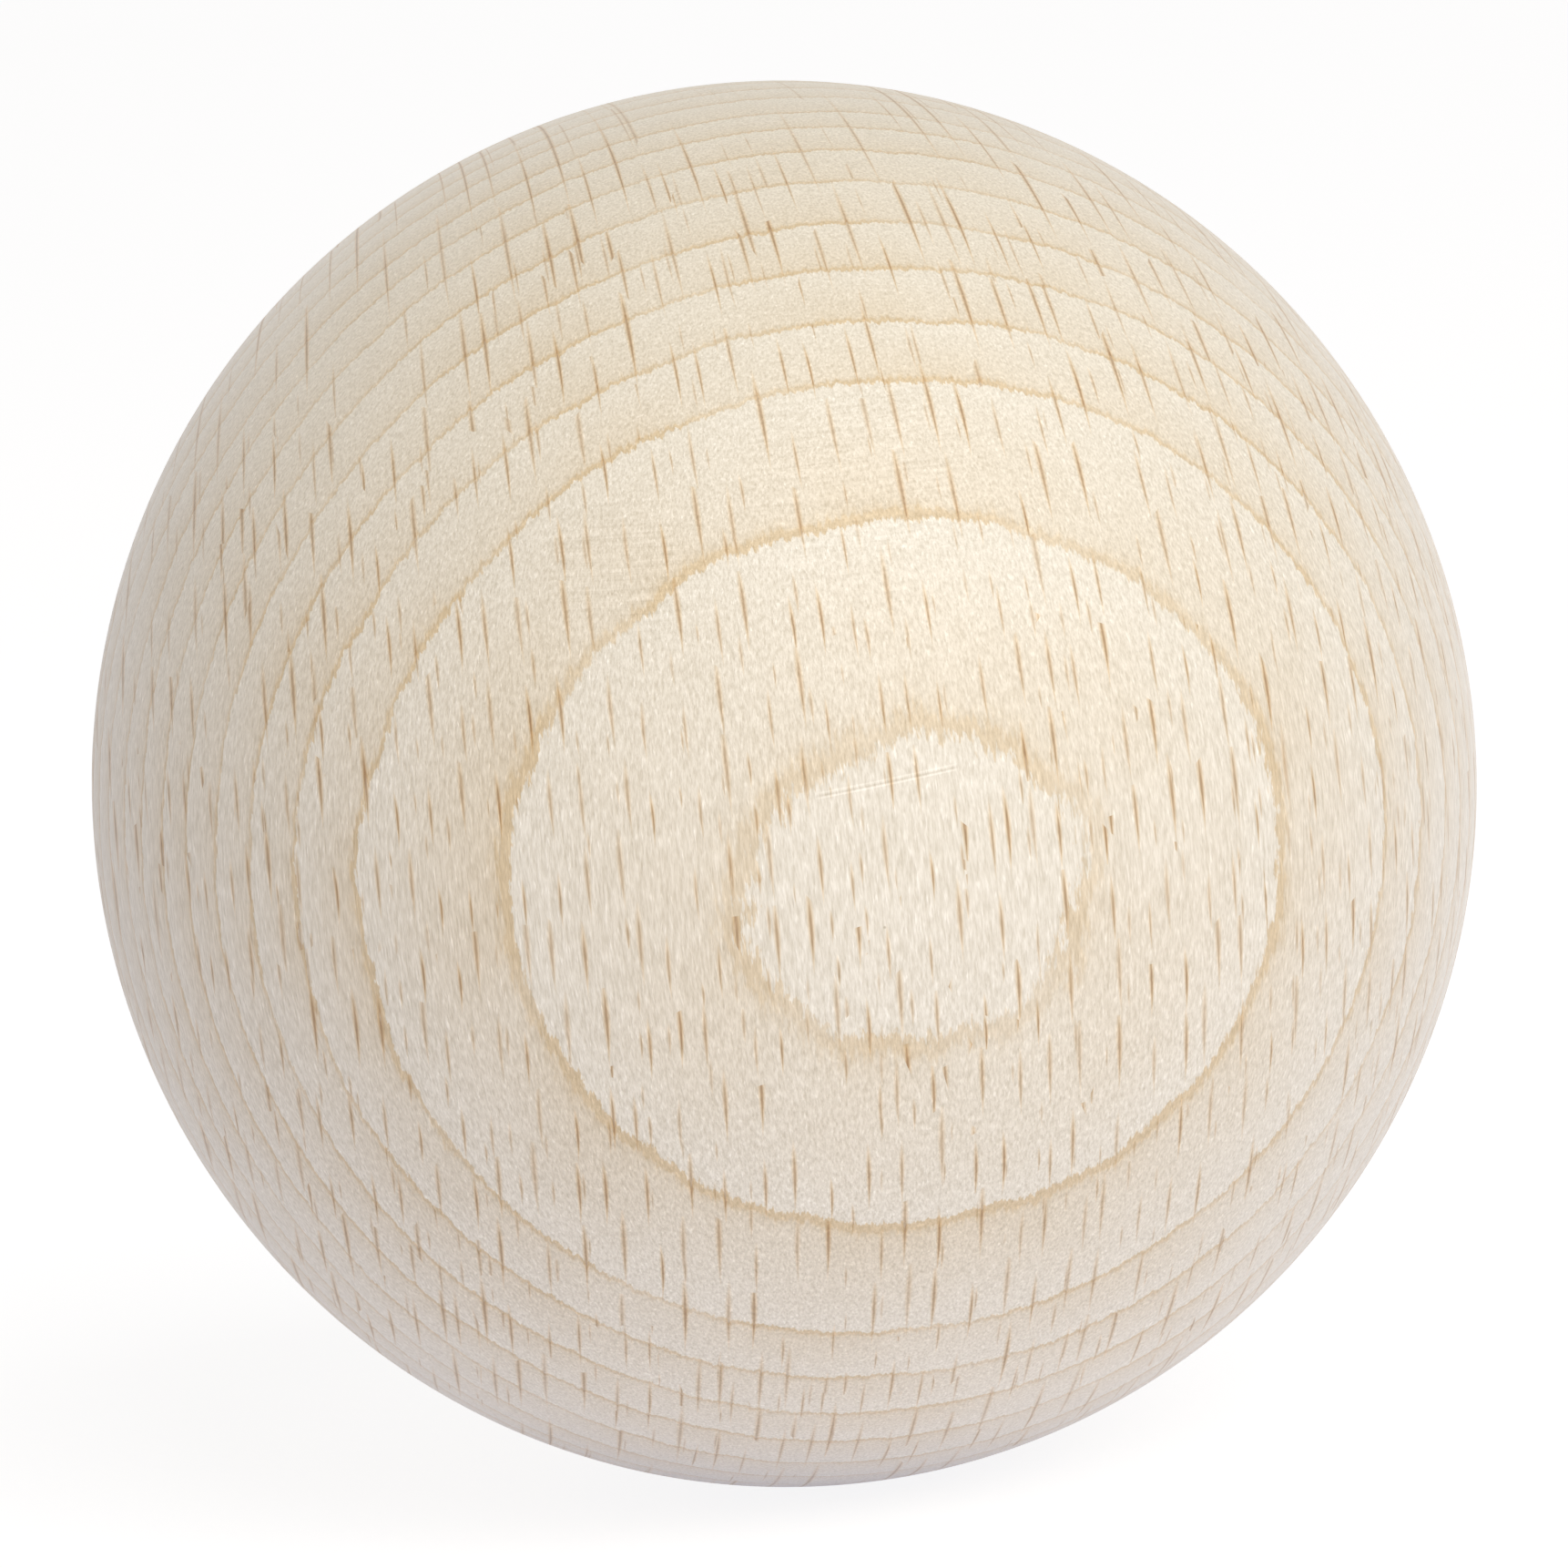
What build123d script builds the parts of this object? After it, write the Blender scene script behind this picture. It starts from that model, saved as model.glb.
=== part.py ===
from build123d import *
import os

# A solid wooden ball, turned from one piece of beech. All sizes are in millimetres.
#
# Frame: the origin is the centre of the ball. +Z runs along the grain, -Y points outward along
# the radius of the tree, to the bark side, and X runs along the growth rings.
#
# Wood that dries after it is turned shrinks hardly at all along the grain, more along the radius
# of the tree and most along the growth rings. So a ball that left the lathe round is slightly oval,
# and each of the three directions has a diameter of its own.

# Driving dimensions
DIAMETER_ALONG_GRAIN = 50.0
DIAMETER_ALONG_RADIUS = 49.6
DIAMETER_ALONG_RINGS = 49.2


def make_ball():
    """The ball: a sphere of the size it was turned to, drawn in across the grain."""
    as_turned = Sphere(radius=DIAMETER_ALONG_GRAIN / 2)
    shrinkage = (
        DIAMETER_ALONG_RINGS / DIAMETER_ALONG_GRAIN,
        DIAMETER_ALONG_RADIUS / DIAMETER_ALONG_GRAIN,
        1.0,
    )
    ball = scale(as_turned, by=shrinkage)
    ball.label = "ball"
    return ball


def write_parts():
    """Write one STEP file for each piece."""
    os.makedirs("parts", exist_ok=True)
    export_step(make_ball(), "parts/ball.step")


write_parts()
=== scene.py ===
import math
import bpy
from mathutils import Matrix, Vector, noise


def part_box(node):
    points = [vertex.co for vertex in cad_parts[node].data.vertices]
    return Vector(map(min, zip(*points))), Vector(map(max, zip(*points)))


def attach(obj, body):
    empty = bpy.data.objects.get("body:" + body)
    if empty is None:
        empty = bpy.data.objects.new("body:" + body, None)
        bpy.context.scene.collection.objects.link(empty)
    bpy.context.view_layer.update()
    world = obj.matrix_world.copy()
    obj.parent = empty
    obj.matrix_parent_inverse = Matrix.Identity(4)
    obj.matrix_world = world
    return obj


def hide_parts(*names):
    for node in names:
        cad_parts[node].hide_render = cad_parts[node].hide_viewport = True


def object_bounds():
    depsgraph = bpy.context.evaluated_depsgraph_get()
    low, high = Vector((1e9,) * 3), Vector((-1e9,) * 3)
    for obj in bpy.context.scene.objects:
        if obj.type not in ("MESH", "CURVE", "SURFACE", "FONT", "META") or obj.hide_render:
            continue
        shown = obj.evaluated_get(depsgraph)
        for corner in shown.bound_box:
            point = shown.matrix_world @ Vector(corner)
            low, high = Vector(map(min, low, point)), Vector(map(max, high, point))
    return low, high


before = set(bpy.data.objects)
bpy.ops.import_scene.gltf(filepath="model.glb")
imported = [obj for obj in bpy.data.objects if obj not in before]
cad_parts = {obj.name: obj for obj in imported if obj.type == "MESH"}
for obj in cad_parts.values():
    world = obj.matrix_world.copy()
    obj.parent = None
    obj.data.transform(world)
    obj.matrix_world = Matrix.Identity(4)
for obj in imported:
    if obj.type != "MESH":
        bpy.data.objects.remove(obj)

# A solid beech ball. Everything is in metres in the CAD frame: the origin is the ball's centre, +Z runs
# along the grain, -Y points out along the tree's radius to the bark side, and X runs along the rings.
# Inside the wood material and the mesh code, lengths are in millimetres.

MM = 0.001
CAD_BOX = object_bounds()
HALF = [(high - low) / 2 / MM for low, high in zip(*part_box("ball"))]     # the three radii, in mm

# ---- The tree that the ball was cut from (mm) ----
PITH_DISTANCE = 78.0         # from the ball's centre back to the tree's centre line
TURNED_AWAY = 2.05           # how much of the outermost year is gone at the bark side
# From the bark side inward. The first 12 show in front. The rest lie behind, and are a guess.
YEAR_WIDTHS = [
    2.6, 2.6, 3.1, 1.8, 1.9, 2.0, 2.2, 2.1, 1.9, 1.6, 2.0, 1.7, 1.9,
    2.1, 1.7, 2.2, 1.9, 1.6, 2.3, 2.1, 1.6, 2.2, 2.6, 2.4, 2.3, 2.4, 2.2,
]
WOOD_DEPTH = sum(YEAR_WIDTHS)
ARC_RADIUS = PITH_DISTANCE + 0.8 * HALF[1]      # the circle on which a turn round the pith becomes mm


# ---------------------------------------------------------------- node helper
class Graph:
    """Adds nodes to one shader tree. Each input may be another node's output or a plain value."""

    def __init__(self, tree):
        self.tree = tree

    def feed(self, socket, value):
        """Join an output to a socket, or set the socket to a plain value."""
        if isinstance(value, bpy.types.NodeSocket):
            self.tree.links.new(value, socket)
        elif value is not None:
            socket.default_value = value

    def node(self, kind, inputs=None, **settings):
        made = self.tree.nodes.new(kind)
        for name, value in settings.items():
            setattr(made, name, value)
        for name, value in (inputs or {}).items():
            self.feed(made.inputs[name], value)
        return made

    def math(self, operation, a, b=None):
        made = self.node("ShaderNodeMath", operation=operation)
        for socket, value in zip(made.inputs, (a, b)):
            self.feed(socket, value)
        return made.outputs[0]

    def add(self, a, b):
        return self.math("ADD", a, b)

    def sub(self, a, b):
        return self.math("SUBTRACT", a, b)

    def mul(self, a, b):
        return self.math("MULTIPLY", a, b)

    def total(self, parts):
        """The sum of (value, weight) pairs."""
        result = 0.0
        for value, weight in parts:
            result = self.add(result, self.mul(value, weight))
        return result

    def vector(self, x, y, z):
        return self.node("ShaderNodeCombineXYZ", {"X": x, "Y": y, "Z": z}).outputs[0]

    def split(self, vector):
        return self.node("ShaderNodeSeparateXYZ", {0: vector}).outputs[:3]

    def stretch(self, vector, factors):
        made = self.node("ShaderNodeVectorMath", operation="MULTIPLY")
        self.feed(made.inputs[0], vector)
        self.feed(made.inputs[1], factors)
        return made.outputs[0]

    def noise(self, vector, waves, detail, roughness=0.5):
        """Noise from about -0.5 to 0.5, with so many waves to one unit of length along each axis."""
        inputs = {"Vector": self.stretch(vector, waves), "Scale": 1.0, "Detail": detail}
        made = self.node("ShaderNodeTexNoise", {**inputs, "Roughness": roughness})
        return self.sub(made.outputs[0], 0.5)

    def remap(self, value, low, high, to_low=0.0, to_high=1.0, smooth=True):
        inputs = {"Value": value, "From Min": low, "From Max": high, "To Min": to_low, "To Max": to_high}
        kind = "SMOOTHSTEP" if smooth else "LINEAR"
        return self.node("ShaderNodeMapRange", inputs, interpolation_type=kind).outputs[0]

    def curve(self, value, points):
        """A value from 0 to 1 read off straight lines between (place, value) points."""
        ramp = self.node("ShaderNodeValToRGB", {"Fac": value})
        stops = ramp.color_ramp.elements
        stops.remove(stops[-1])
        for index, (place, height) in enumerate(points):
            stop = stops[0] if index == 0 else stops.new(place)
            stop.position = place
            stop.color = (height, height, height, 1.0)
        return ramp.outputs[0]

    def blend(self, factor, a, b, kind="MIX"):
        made = self.node("ShaderNodeMix", data_type="RGBA", blend_type=kind)
        self.feed(made.inputs["Factor"], factor)
        self.feed(made.inputs["A"], a)
        self.feed(made.inputs["B"], b)
        return made.outputs["Result"]


def colour(red, green, blue):
    return (red, green, blue, 1.0)


# ---------------------------------------------------------------- beech
LIGHT_WOOD = colour(0.770, 0.704, 0.568)       # earlywood
LATE_WOOD = colour(0.845, 0.722, 0.540)        # what latewood lets through of it
RAY_EDGE = colour(0.91, 0.78, 0.60)            # what the golden rim of a ray lets through
RAY_CORE = colour(0.57, 0.47, 0.38)            # and its brown core, on top of that

# How much latewood there is, from the bark side of a year to its pith side: a thin dark line that fades
LATE_PROFILE = [(0.0, 1.0), (0.040, 1.0), (0.070, 0.52), (0.12, 0.34), (0.25, 0.26), (0.50, 0.17),
                (0.75, 0.07), (0.93, 0.0), (0.988, 0.0), (1.0, 0.9)]
# Latewood is richer in some places than others, and weaker just under the bark
RICHNESS_CLOUDS = dict(waves=(0.16, 0.16, 0.16), detail=1.0)
RICHNESS = (0.70, 1.40)      # the least and the most
OUTER_DEPTHS = (0.3, 3.0)    # mm: between these it comes to its full strength
OUTER_RICHNESS = 0.55

# The rings wander: slowly, in waves, and in the short steps of torn fibres. With each noise goes how
# far it moves a ring, in mm.
RING_WANDER = [
    (dict(waves=(0.09, 0.09, 0.09), detail=1.0), 0.40),
    (dict(waves=(0.50, 0.30, 0.30), detail=2.0), 0.36),
    (dict(waves=(4.5, 1.2, 0.9), detail=3.0, roughness=0.75), 0.50),
]
RING_SWELL = ((-4.65, -24.0, 4.2), 5.5)         # a place on the surface, and the radius of the swelling
SWELL_SHIFT = 0.10                              # mm
SIDE_DEPTHS = (8.0, 16.0)                       # between these the rings start to crowd at the sides
SIDE_SHIFT = 2.6                                # mm
RING_DENT = 0.14                                # mm: how far a ring bends where it crosses a ray

# Rays, in mm: gap is their spacing along the rings, along the grain and inward, half_size is half the
# width and half the height of the largest, and keep is the share of them that shows
LARGE_RAYS = dict(gap=(1.22, 2.8, 14.0), half_size=(0.080, 1.35), seed=0.0, keep=0.92)
SMALL_RAYS = dict(gap=(1.1, 1.8, 9.0), half_size=(0.052, 0.60), seed=31.7, keep=0.45)
SMALL_RAY_STRENGTH = 0.7
RAY_DISORDER = 0.64          # 0 would set them in rows, 1 quite at random
RAY_SIZES = (0.5, 1.0)       # the smallest and the largest, as a share of half_size
RAY_STRENGTHS = (0.5, 1.0)
RAY_BOW = 0.8                # how much the most bent ray bends
RAY_TAPER = 0.45             # how much thicker one end is
RAY_THINNEST = 0.3
RIM_EDGES = (-1.1, 0.5)      # where the rim starts and is full: 1 is a ray's middle, 0 its edge
CORE_EDGES = (0.0, 0.8)

# The grain of the surface: short fibres, longer strands and dark vessel lines, with bright specks of
# painted glint, where fibres catch the lamp
FIBRE = dict(waves=(11.0, 11.0, 1.5), detail=2.0, roughness=0.65)
STRAND = dict(waves=(5.0, 5.0, 0.9), detail=1.0, roughness=0.6)
PAINTED_GLINT = dict(waves=(10.0, 10.0, 1.9), detail=1.0)
VESSEL = dict(waves=(8.0, 8.0, 0.8), detail=1.0)
PAINTED_GLINT_EDGES = (0.08, 0.30)   # only the highest noise becomes a painted glint
VESSEL_EDGES = (-0.12, -0.30)                   # and only the lowest is a vessel
GRAIN_AND_GLINT_SHARES = (0.70, 0.08, 0.19, -0.06)        # of fibre, strand, painted glint and vessel
GRAIN_CONTRAST = 1.12
CLOUDS = dict(waves=(0.25, 0.25, 0.25), detail=2.0)
CLOUD_SHARE = 0.05

# Single marks. A place is a point on the surface in mm, with the radius of the mark.
# The turning marks sit where the lamp's highlight falls. Their lines are real relief, but their light and
# dark streaks in the colour are a painted highlight.
TURNING_MARKS = [((0.0, -20.8, 13.6), 6.5), ((-8.4, -20.4, 11.2), 4.0)]
TURNING_LINES = dict(waves=(0.25, 0.25, 7.0), detail=2.0, roughness=0.7)
TURNING_HIGHLIGHT_SHARE = 0.42         # of the colour: painted highlight streaks
TURNING_HEIGHT = 0.4         # of the grain's height
SCRATCH = dict(start=-3.3, end=1.9, height=3.56, slope=0.092, fade=0.4, depth=5.0)
SCRATCH_LINES = [(0.0, 1.0), (0.08, -1.0), (0.18, 0.8)]      # how far up each line is, and its strength
SCRATCH_HALF_WIDTH = 0.05
SCRATCH_SHARE = 0.16
SPECKS = [((-1.3, -24.7, -1.35), 0.07), ((-8.25, -22.9, 3.9), 0.07), ((20.5, -5.9, 12.5), 0.14)]
SPECK_SHARE = -0.35
PATCH_CORE = 0.3             # the share of a round mark's radius over which it has its full strength

# The surface
TINT_OF_TONE = (0.92, 1.02, 1.24)               # darker wood loses less red and more blue, and lighter specks such as the painted glints turn whiter
ROUGHNESS = (0.54, 0.40)                        # of the lowest and the highest fibres
FIBRE_RANGE = (-0.3, 0.3)
SHEEN = 0.32                                    # the pale bloom of fine fibres, seen at a slant
SHEEN_ROUGHNESS = 0.5
GRAIN_HEIGHT = 0.03                             # mm


def wood_places(g):
    """The point in mm, its x and z, its distance in from the bark side, and its place along the rings."""
    point = g.stretch(g.node("ShaderNodeTexCoord").outputs["Object"], (1 / MM,) * 3)
    x, y, z = g.split(point)
    inward = g.sub(PITH_DISTANCE, y)
    radius = g.math("SQRT", g.add(g.mul(x, x), g.mul(inward, inward)))
    depth = g.sub(PITH_DISTANCE + HALF[1], radius)
    along_ring = g.mul(g.math("ARCTAN2", x, inward), ARC_RADIUS)
    return point, x, z, depth, along_ring


def patch(g, point, centre, radius):
    """1 at the middle of a round patch of surface, easing to 0 at its edge."""
    away = g.node("ShaderNodeVectorMath", operation="DISTANCE")
    g.feed(away.inputs[0], point)
    away.inputs[1].default_value = centre
    return g.remap(away.outputs["Value"], radius, radius * PATCH_CORE)


def growth_years(g, point, x, depth, ray):
    """How far through its year the wood is, from 0 at the bark side to 1 at the pith side."""
    shifts = [g.mul(g.noise(point, **texture), amount) for texture, amount in RING_WANDER]
    shifts.append(g.mul(patch(g, point, *RING_SWELL), SWELL_SHIFT))
    side = g.mul(g.mul(x, x), 1 / HALF[0] ** 2)
    shifts.append(g.mul(side, g.remap(depth, *SIDE_DEPTHS, 0.0, SIDE_SHIFT)))
    shifts.append(g.mul(ray, -RING_DENT))
    shifts.append(TURNED_AWAY)
    for shift in shifts:
        depth = g.add(depth, shift)
    points, total = [(0.0, 0.0)], 0.0
    for number, width in enumerate(YEAR_WIDTHS, start=1):
        total += width
        points.append((total / WOOD_DEPTH, number / len(YEAR_WIDTHS)))
    years = g.mul(g.curve(g.mul(depth, 1 / WOOD_DEPTH), points), float(len(YEAR_WIDTHS)))
    return g.math("FRACT", years)


def ray_cells(g, along_ring, z, depth, gap, seed):
    """How far a place is from the middle of its ray, in gaps, and three random numbers for that ray."""
    across = g.add(g.mul(along_ring, 1 / gap[0]), seed)
    spread = g.vector(across, g.mul(z, 1 / gap[1]), g.mul(depth, 1 / gap[2]))
    cells = g.node("ShaderNodeTexVoronoi", {"Vector": spread, "Scale": 1.0, "Randomness": RAY_DISORDER})
    offset = g.node("ShaderNodeVectorMath", operation="SUBTRACT")
    g.feed(offset.inputs[0], spread)
    g.feed(offset.inputs[1], cells.outputs["Position"])
    across, along, _ = g.split(offset.outputs[0])
    return across, along, g.split(cells.outputs["Color"])


def rays(g, along_ring, z, depth, gap, half_size, seed, keep):
    """Ray spindles: thin upright ribbons of cells that run in along the tree's radius.

    The results are how far a place lies in a ray's rim, and in its core."""
    across, along, (chance, size, strength) = ray_cells(g, along_ring, z, depth, gap, seed)
    size = g.remap(size, 0.0, 1.0, *RAY_SIZES, smooth=False)
    along = g.math("DIVIDE", g.mul(along, gap[1] / half_size[1]), size)
    bow = g.mul(g.mul(along, along), g.mul(g.sub(strength, 0.5), RAY_BOW))
    across = g.math("ABSOLUTE", g.add(g.mul(across, gap[0] / half_size[0]), bow))
    taper = g.math("MAXIMUM", g.add(1.0, g.mul(along, RAY_TAPER)), RAY_THINNEST)
    across = g.math("DIVIDE", across, g.mul(size, taper))
    lens = g.sub(g.sub(1.0, g.mul(along, along)), across)
    strength = g.remap(strength, 0.0, 1.0, *RAY_STRENGTHS, smooth=False)
    shown = g.mul(g.math("LESS_THAN", chance, keep), strength)
    return g.mul(g.remap(lens, *RIM_EDGES), shown), g.mul(g.remap(lens, *CORE_EDGES), shown)


def wood_colour(g, point, x, z, depth, along_ring):
    """The wood itself: earlywood, which latewood and rays darken."""
    rim, core = rays(g, along_ring, z, depth, **LARGE_RAYS)
    phase = growth_years(g, point, x, depth, core)
    small_rim, small_core = rays(g, along_ring, z, depth, **SMALL_RAYS)
    rim = g.math("MAXIMUM", rim, g.mul(small_rim, SMALL_RAY_STRENGTH))
    core = g.math("MAXIMUM", core, g.mul(small_core, SMALL_RAY_STRENGTH))
    richness = g.remap(g.noise(point, **RICHNESS_CLOUDS), -0.2, 0.2, *RICHNESS)
    richness = g.mul(richness, g.remap(depth, *OUTER_DEPTHS, OUTER_RICHNESS, 1.0))
    late = g.math("MINIMUM", g.mul(g.curve(phase, LATE_PROFILE), richness), 1.0)
    base = LIGHT_WOOD
    for amount, tint in ((late, LATE_WOOD), (rim, RAY_EDGE), (core, RAY_CORE)):
        base = g.blend(amount, base, g.blend(1.0, base, tint, "MULTIPLY"))
    return base


def surface_grain_and_glints(g, point):
    """The fibres by themselves, and then all of the grain with the painted glints, which lightens and
    raises the surface.
    """
    fibre = g.noise(point, **FIBRE)
    strand = g.noise(point, **STRAND)
    # Painted glints: the brightest specks, light specks in the colour where fibres would catch the lamp
    painted_glint = g.remap(g.noise(point, **PAINTED_GLINT), *PAINTED_GLINT_EDGES)
    vessel = g.remap(g.noise(point, **VESSEL), *VESSEL_EDGES)
    # grain here holds the painted glints as well as the fibres, strands and vessels
    grain = g.total(zip((fibre, strand, painted_glint, vessel), GRAIN_AND_GLINT_SHARES))
    return fibre, g.mul(grain, GRAIN_CONTRAST)


def turning_marks(g, point):
    """Fine circles round the grain axis, such as a lathe leaves, in a few patches. The patches lie in the
    lamp's highlight, and in the colour their lines are painted highlight streaks.
    """
    amount = 0.0
    for centre, radius in TURNING_MARKS:
        amount = g.math("MAXIMUM", patch(g, point, centre, radius), amount)
    return g.mul(g.noise(point, **TURNING_LINES), amount)


def scratch(g, x, z, depth):
    """A double scratch across the grain, near the middle of the bark side: light, dark, light."""
    off = g.sub(z, g.add(SCRATCH["height"], g.mul(x, SCRATCH["slope"])))
    lines = []
    for place, strength in SCRATCH_LINES:
        away = g.math("ABSOLUTE", g.sub(off, place))
        lines.append((g.remap(away, SCRATCH_HALF_WIDTH, 0.0), strength))
    inside = g.mul(g.remap(x, SCRATCH["start"], SCRATCH["start"] + SCRATCH["fade"]),
                   g.remap(x, SCRATCH["end"], SCRATCH["end"] - SCRATCH["fade"]))
    near_side = g.math("LESS_THAN", depth, SCRATCH["depth"])
    return g.mul(g.total(lines), g.mul(inside, near_side))


def surface_tone(g, point, x, z, depth, grain, turned):
    """How much lighter or darker the surface is than the wood itself, including painted glints and
    painted highlight streaks.
    """
    # grain brings painted glints into the colour, and turned brings painted highlight streaks
    parts = [(grain, 1.0), (g.noise(point, **CLOUDS), CLOUD_SHARE), (turned, TURNING_HIGHLIGHT_SHARE)]
    parts.append((scratch(g, x, z, depth), SCRATCH_SHARE))
    for centre, radius in SPECKS:
        parts.append((patch(g, point, centre, radius), SPECK_SHARE))
    return g.total(parts)


def make_beech():
    """Untreated beech, finely sanded: yearly rings, rays, fibres and faint vessels."""
    material = bpy.data.materials.new("sanded_beech")
    material.use_nodes = True
    g = Graph(material.node_tree)
    shader = next(n for n in material.node_tree.nodes if n.type == "BSDF_PRINCIPLED")
    point, x, z, depth, along_ring = wood_places(g)
    base = wood_colour(g, point, x, z, depth, along_ring)
    fibre, grain = surface_grain_and_glints(g, point)
    # turned is real lathe relief and roughness, and in the colour painted highlight streaks
    turned = turning_marks(g, point)
    tone = surface_tone(g, point, x, z, depth, grain, turned)
    tints = [g.add(1.0, g.mul(tone, share)) for share in TINT_OF_TONE]
    g.feed(shader.inputs["Base Color"], g.blend(1.0, base, g.vector(*tints), "MULTIPLY"))
    rough = g.remap(g.sub(fibre, turned), *FIBRE_RANGE, *ROUGHNESS, smooth=False)
    g.feed(shader.inputs["Roughness"], rough)
    shader.inputs["Sheen Weight"].default_value = SHEEN
    shader.inputs["Sheen Roughness"].default_value = SHEEN_ROUGHNESS
    height = g.add(grain, g.mul(turned, TURNING_HEIGHT))
    bump = g.node("ShaderNodeBump", {"Strength": 1.0, "Distance": GRAIN_HEIGHT * MM, "Height": height})
    g.feed(shader.inputs["Normal"], bump.outputs[0])
    return material


# ---------------------------------------------------------------- the ball's mesh
CELLS = 128                  # squares along each edge of the six faces that wrap the ball
TURNING_WAVE = 0.03          # mm: how far the turned surface wanders in and out
WAVES_PER_RADIUS = 1.7
MAP_MARGIN = 0.004           # gap round each face in the texture layout


def surface_point(direction):
    """The turned surface in this direction, in mm, always just inside the CAD ball."""
    point = Vector(side * half for side, half in zip(direction, HALF))
    wave = 0.5 + 0.5 * noise.noise(direction * WAVES_PER_RADIUS)
    return point * (1.0 - TURNING_WAVE * wave / max(HALF))


def cube_faces():
    """The outward way, the way across and the way up of a cube's six faces."""
    faces = []
    for axis in range(3):
        for sign in (1.0, -1.0):
            normal, across, up = (Vector((0, 0, 0)) for _ in range(3))
            normal[axis] = sign
            across[(axis + 1) % 3] = sign
            up[(axis + 2) % 3] = 1.0
            faces.append((normal, across, up))
    return faces


def ball_grid():
    """Six curved square faces that share their edges, with the texture layout of an unfolded box."""
    places, quads, layout = {}, [], []
    for number, (normal, across, up) in enumerate(cube_faces()):
        rows = []
        for row in range(CELLS + 1):
            line = []
            for column in range(CELLS + 1):
                a = math.tan((column / CELLS - 0.5) * math.pi / 2)
                b = math.tan((row / CELLS - 0.5) * math.pi / 2)
                direction = (normal + across * a + up * b).normalized()
                key = tuple(round(side * 1e5) for side in direction)
                if key not in places:
                    places[key] = (len(places), surface_point(direction) * MM)
                line.append(places[key][0])
            rows.append(line)
        corner_u, corner_v = (number % 3) / 3, (number // 3) / 2
        for row in range(CELLS):
            for column in range(CELLS):
                corners = [(0, 0), (1, 0), (1, 1), (0, 1)]
                quads.append([rows[row + r][column + c] for c, r in corners])
                for c, r in corners:
                    u = MAP_MARGIN + (column + c) / CELLS * (1 / 3 - 2 * MAP_MARGIN)
                    v = MAP_MARGIN + (row + r) / CELLS * (1 / 2 - 2 * MAP_MARGIN)
                    layout.append((corner_u + u, corner_v + v))
    return [place for _, place in places.values()], quads, layout


def make_ball(material):
    corners, quads, layout = ball_grid()
    mesh = bpy.data.meshes.new("ball_wood")
    mesh.from_pydata(corners, [], quads)
    mesh.materials.append(material)
    uv = mesh.uv_layers.new(name="OFBake")
    for loop, place in zip(uv.data, layout):
        loop.uv = place
    mesh.shade_smooth()
    mesh.validate()
    ball = bpy.data.objects.new("ball_wood", mesh)
    bpy.context.collection.objects.link(ball)
    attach(ball, "root")
    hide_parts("ball")
    return ball


# ---------------------------------------------------------------- floor, light and camera
FLOOR_RADIUS = 1.5
FLOOR_FADE = (0.3, 1.4)                        # the floor thins out between these distances
FLOOR_PAINT = colour(0.86, 0.86, 0.86)
FLOOR_LIFT = colour(0.138, 0.155, 0.285)       # a faint cool glow that reaches the ball from below
SEEN_PAINT = colour(0.28, 0.28, 0.28)          # the floor that the camera sees: white, with a soft shadow
SEEN_WHITE = 0.84
WORLD_LIGHT = colour(0.385, 0.361, 0.352)


def seen_directly(g):
    """1 for rays from the camera, a mirror or glass, and 0 for rays that carry light."""
    path = g.node("ShaderNodeLightPath")
    seen = g.math("MAXIMUM", path.outputs["Is Camera Ray"], path.outputs["Is Glossy Ray"])
    return g.math("MAXIMUM", seen, path.outputs["Is Transmission Ray"])


def matt_and_glow(g, paint, glow, strength):
    matt = g.node("ShaderNodeBsdfDiffuse", {"Color": paint})
    light = g.node("ShaderNodeEmission", {"Color": glow, "Strength": strength})
    both = g.node("ShaderNodeAddShader")
    g.feed(both.inputs[0], matt.outputs[0])
    g.feed(both.inputs[1], light.outputs[0])
    return both.outputs[0]


def mix_shaders(g, factor, a, b):
    mix = g.node("ShaderNodeMixShader", {"Fac": factor})
    g.feed(mix.inputs[1], a)
    g.feed(mix.inputs[2], b)
    return mix.outputs[0]


def make_floor():
    """A plain white floor that thins out far away, so that no horizon shows."""
    sides = 96
    turns = [index / sides * math.tau for index in range(sides)]
    rim = [(FLOOR_RADIUS * math.cos(turn), FLOOR_RADIUS * math.sin(turn), 0.0) for turn in turns]
    mesh = bpy.data.meshes.new("floor")
    mesh.from_pydata(rim, [], [list(range(sides))])
    floor = bpy.data.objects.new("floor", mesh)
    floor.location.z = CAD_BOX[0][2]
    bpy.context.collection.objects.link(floor)
    material = bpy.data.materials.new("white_floor")
    material.use_nodes = True
    material.node_tree.nodes.clear()
    g = Graph(material.node_tree)
    real = matt_and_glow(g, FLOOR_PAINT, FLOOR_LIFT, 1.0)
    shown = matt_and_glow(g, SEEN_PAINT, colour(1, 1, 1), SEEN_WHITE)
    surface = mix_shaders(g, seen_directly(g), real, shown)
    x, y, _ = g.split(g.node("ShaderNodeTexCoord").outputs["Object"])
    distance = g.math("SQRT", g.add(g.mul(x, x), g.mul(y, y)))
    clear = g.node("ShaderNodeBsdfTransparent").outputs[0]
    surface = mix_shaders(g, g.remap(distance, *FLOOR_FADE), surface, clear)
    g.node("ShaderNodeOutputMaterial", {"Surface": surface})
    mesh.materials.append(material)


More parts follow.
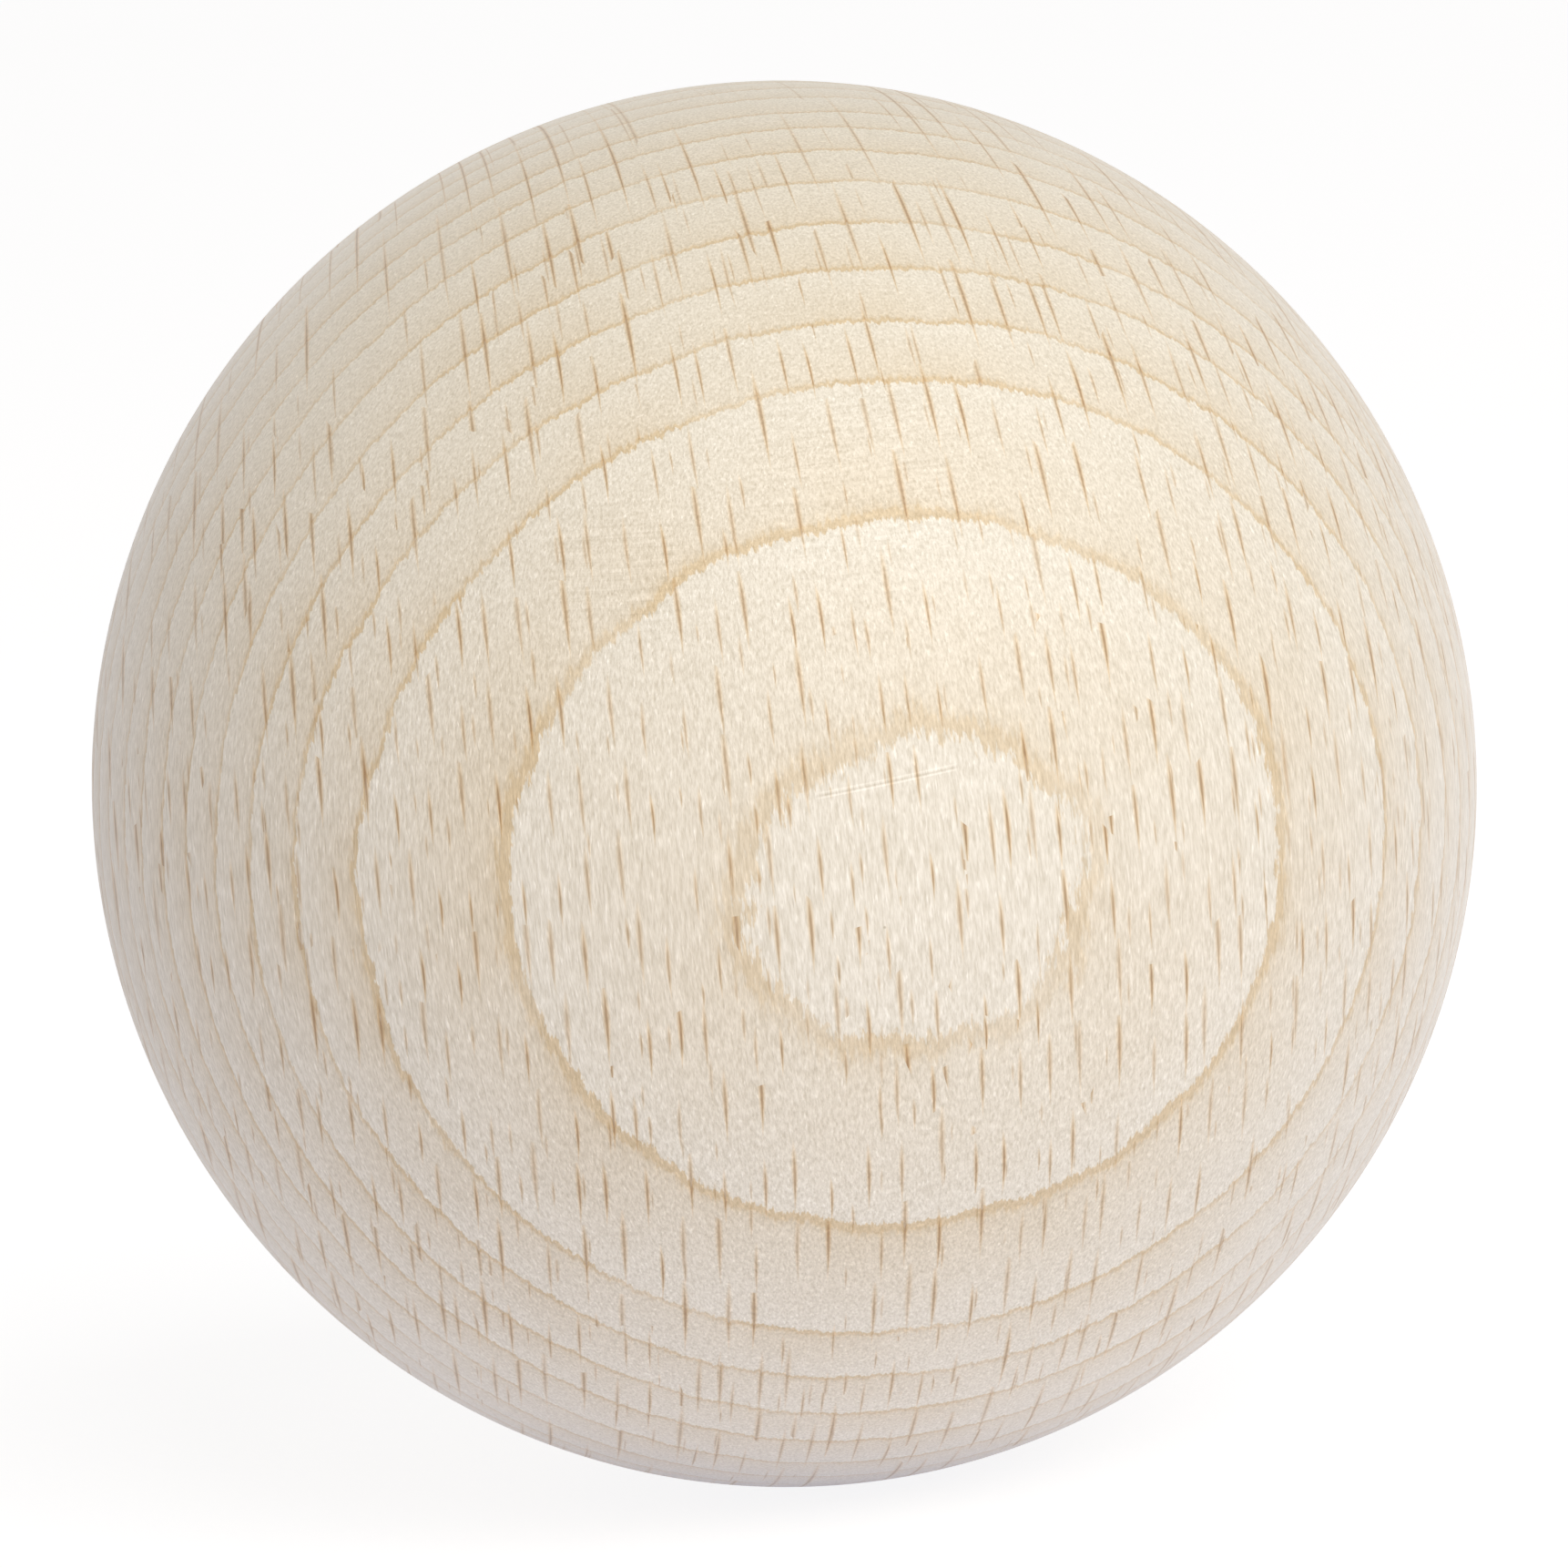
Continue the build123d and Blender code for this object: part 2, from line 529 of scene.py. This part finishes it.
def make_world():
    """Soft light from all round. The camera sees plain white."""
    world = bpy.data.worlds.new("studio")
    world.use_nodes = True
    bpy.context.scene.world = world
    g = Graph(world.node_tree)
    background = next(n for n in world.node_tree.nodes if n.type == "BACKGROUND")
    g.feed(background.inputs["Color"], g.blend(seen_directly(g), WORLD_LIGHT, colour(1, 1, 1)))


def make_lamp(name, direction, distance, size, power):
    """A square soft box that faces the ball."""
    data = bpy.data.lights.new(name, "AREA")
    data.shape = "SQUARE"
    data.size = size
    data.energy = power
    lamp = bpy.data.objects.new(name, data)
    way = direction.normalized()
    lamp.location = way * distance
    lamp.rotation_mode = "QUATERNION"
    lamp.rotation_quaternion = way.to_track_quat("Z", "Y")
    bpy.context.collection.objects.link(lamp)


# The camera looks from a little above the ball's waist, a little left of the bark side.
CAMERA_WAY = Vector((-0.170, -0.973, 0.156)).normalized()
CAMERA_ROLL = math.radians(-5.2)
CAMERA_DISTANCE = 0.55
PICTURE_FILL = 0.898         # share of the picture's height that the ball takes
# The one lamp, a soft box up and to the right of the camera: metres and watts
KEY_WAY = Vector((0.30, 0.58, 0.75))           # in the camera's own axes
KEY_DISTANCE = 0.6
KEY_SIZE = 0.5
KEY_POWER = 2.82


def make_camera():
    data = bpy.data.cameras.new("camera")
    camera = bpy.data.objects.new("camera", data)
    bpy.context.collection.objects.link(camera)
    turn = CAMERA_WAY.to_track_quat("Z", "Y") @ Matrix.Rotation(CAMERA_ROLL, 4, "Z").to_quaternion()
    camera.rotation_mode = "QUATERNION"
    camera.rotation_quaternion = turn
    camera.location = CAMERA_WAY * CAMERA_DISTANCE
    half_angle = math.asin(HALF[2] * MM / CAMERA_DISTANCE)
    data.sensor_width = 36.0
    data.lens = data.sensor_width / 2 * PICTURE_FILL / math.tan(half_angle)
    data.clip_start = 0.01
    data.clip_end = 10.0
    bpy.context.scene.camera = camera
    return turn


beech = make_beech()
make_ball(beech)
make_floor()
make_world()
camera_turn = make_camera()
make_lamp("key", camera_turn @ KEY_WAY, KEY_DISTANCE, KEY_SIZE, KEY_POWER)
bpy.context.scene.view_settings.view_transform = "Standard"
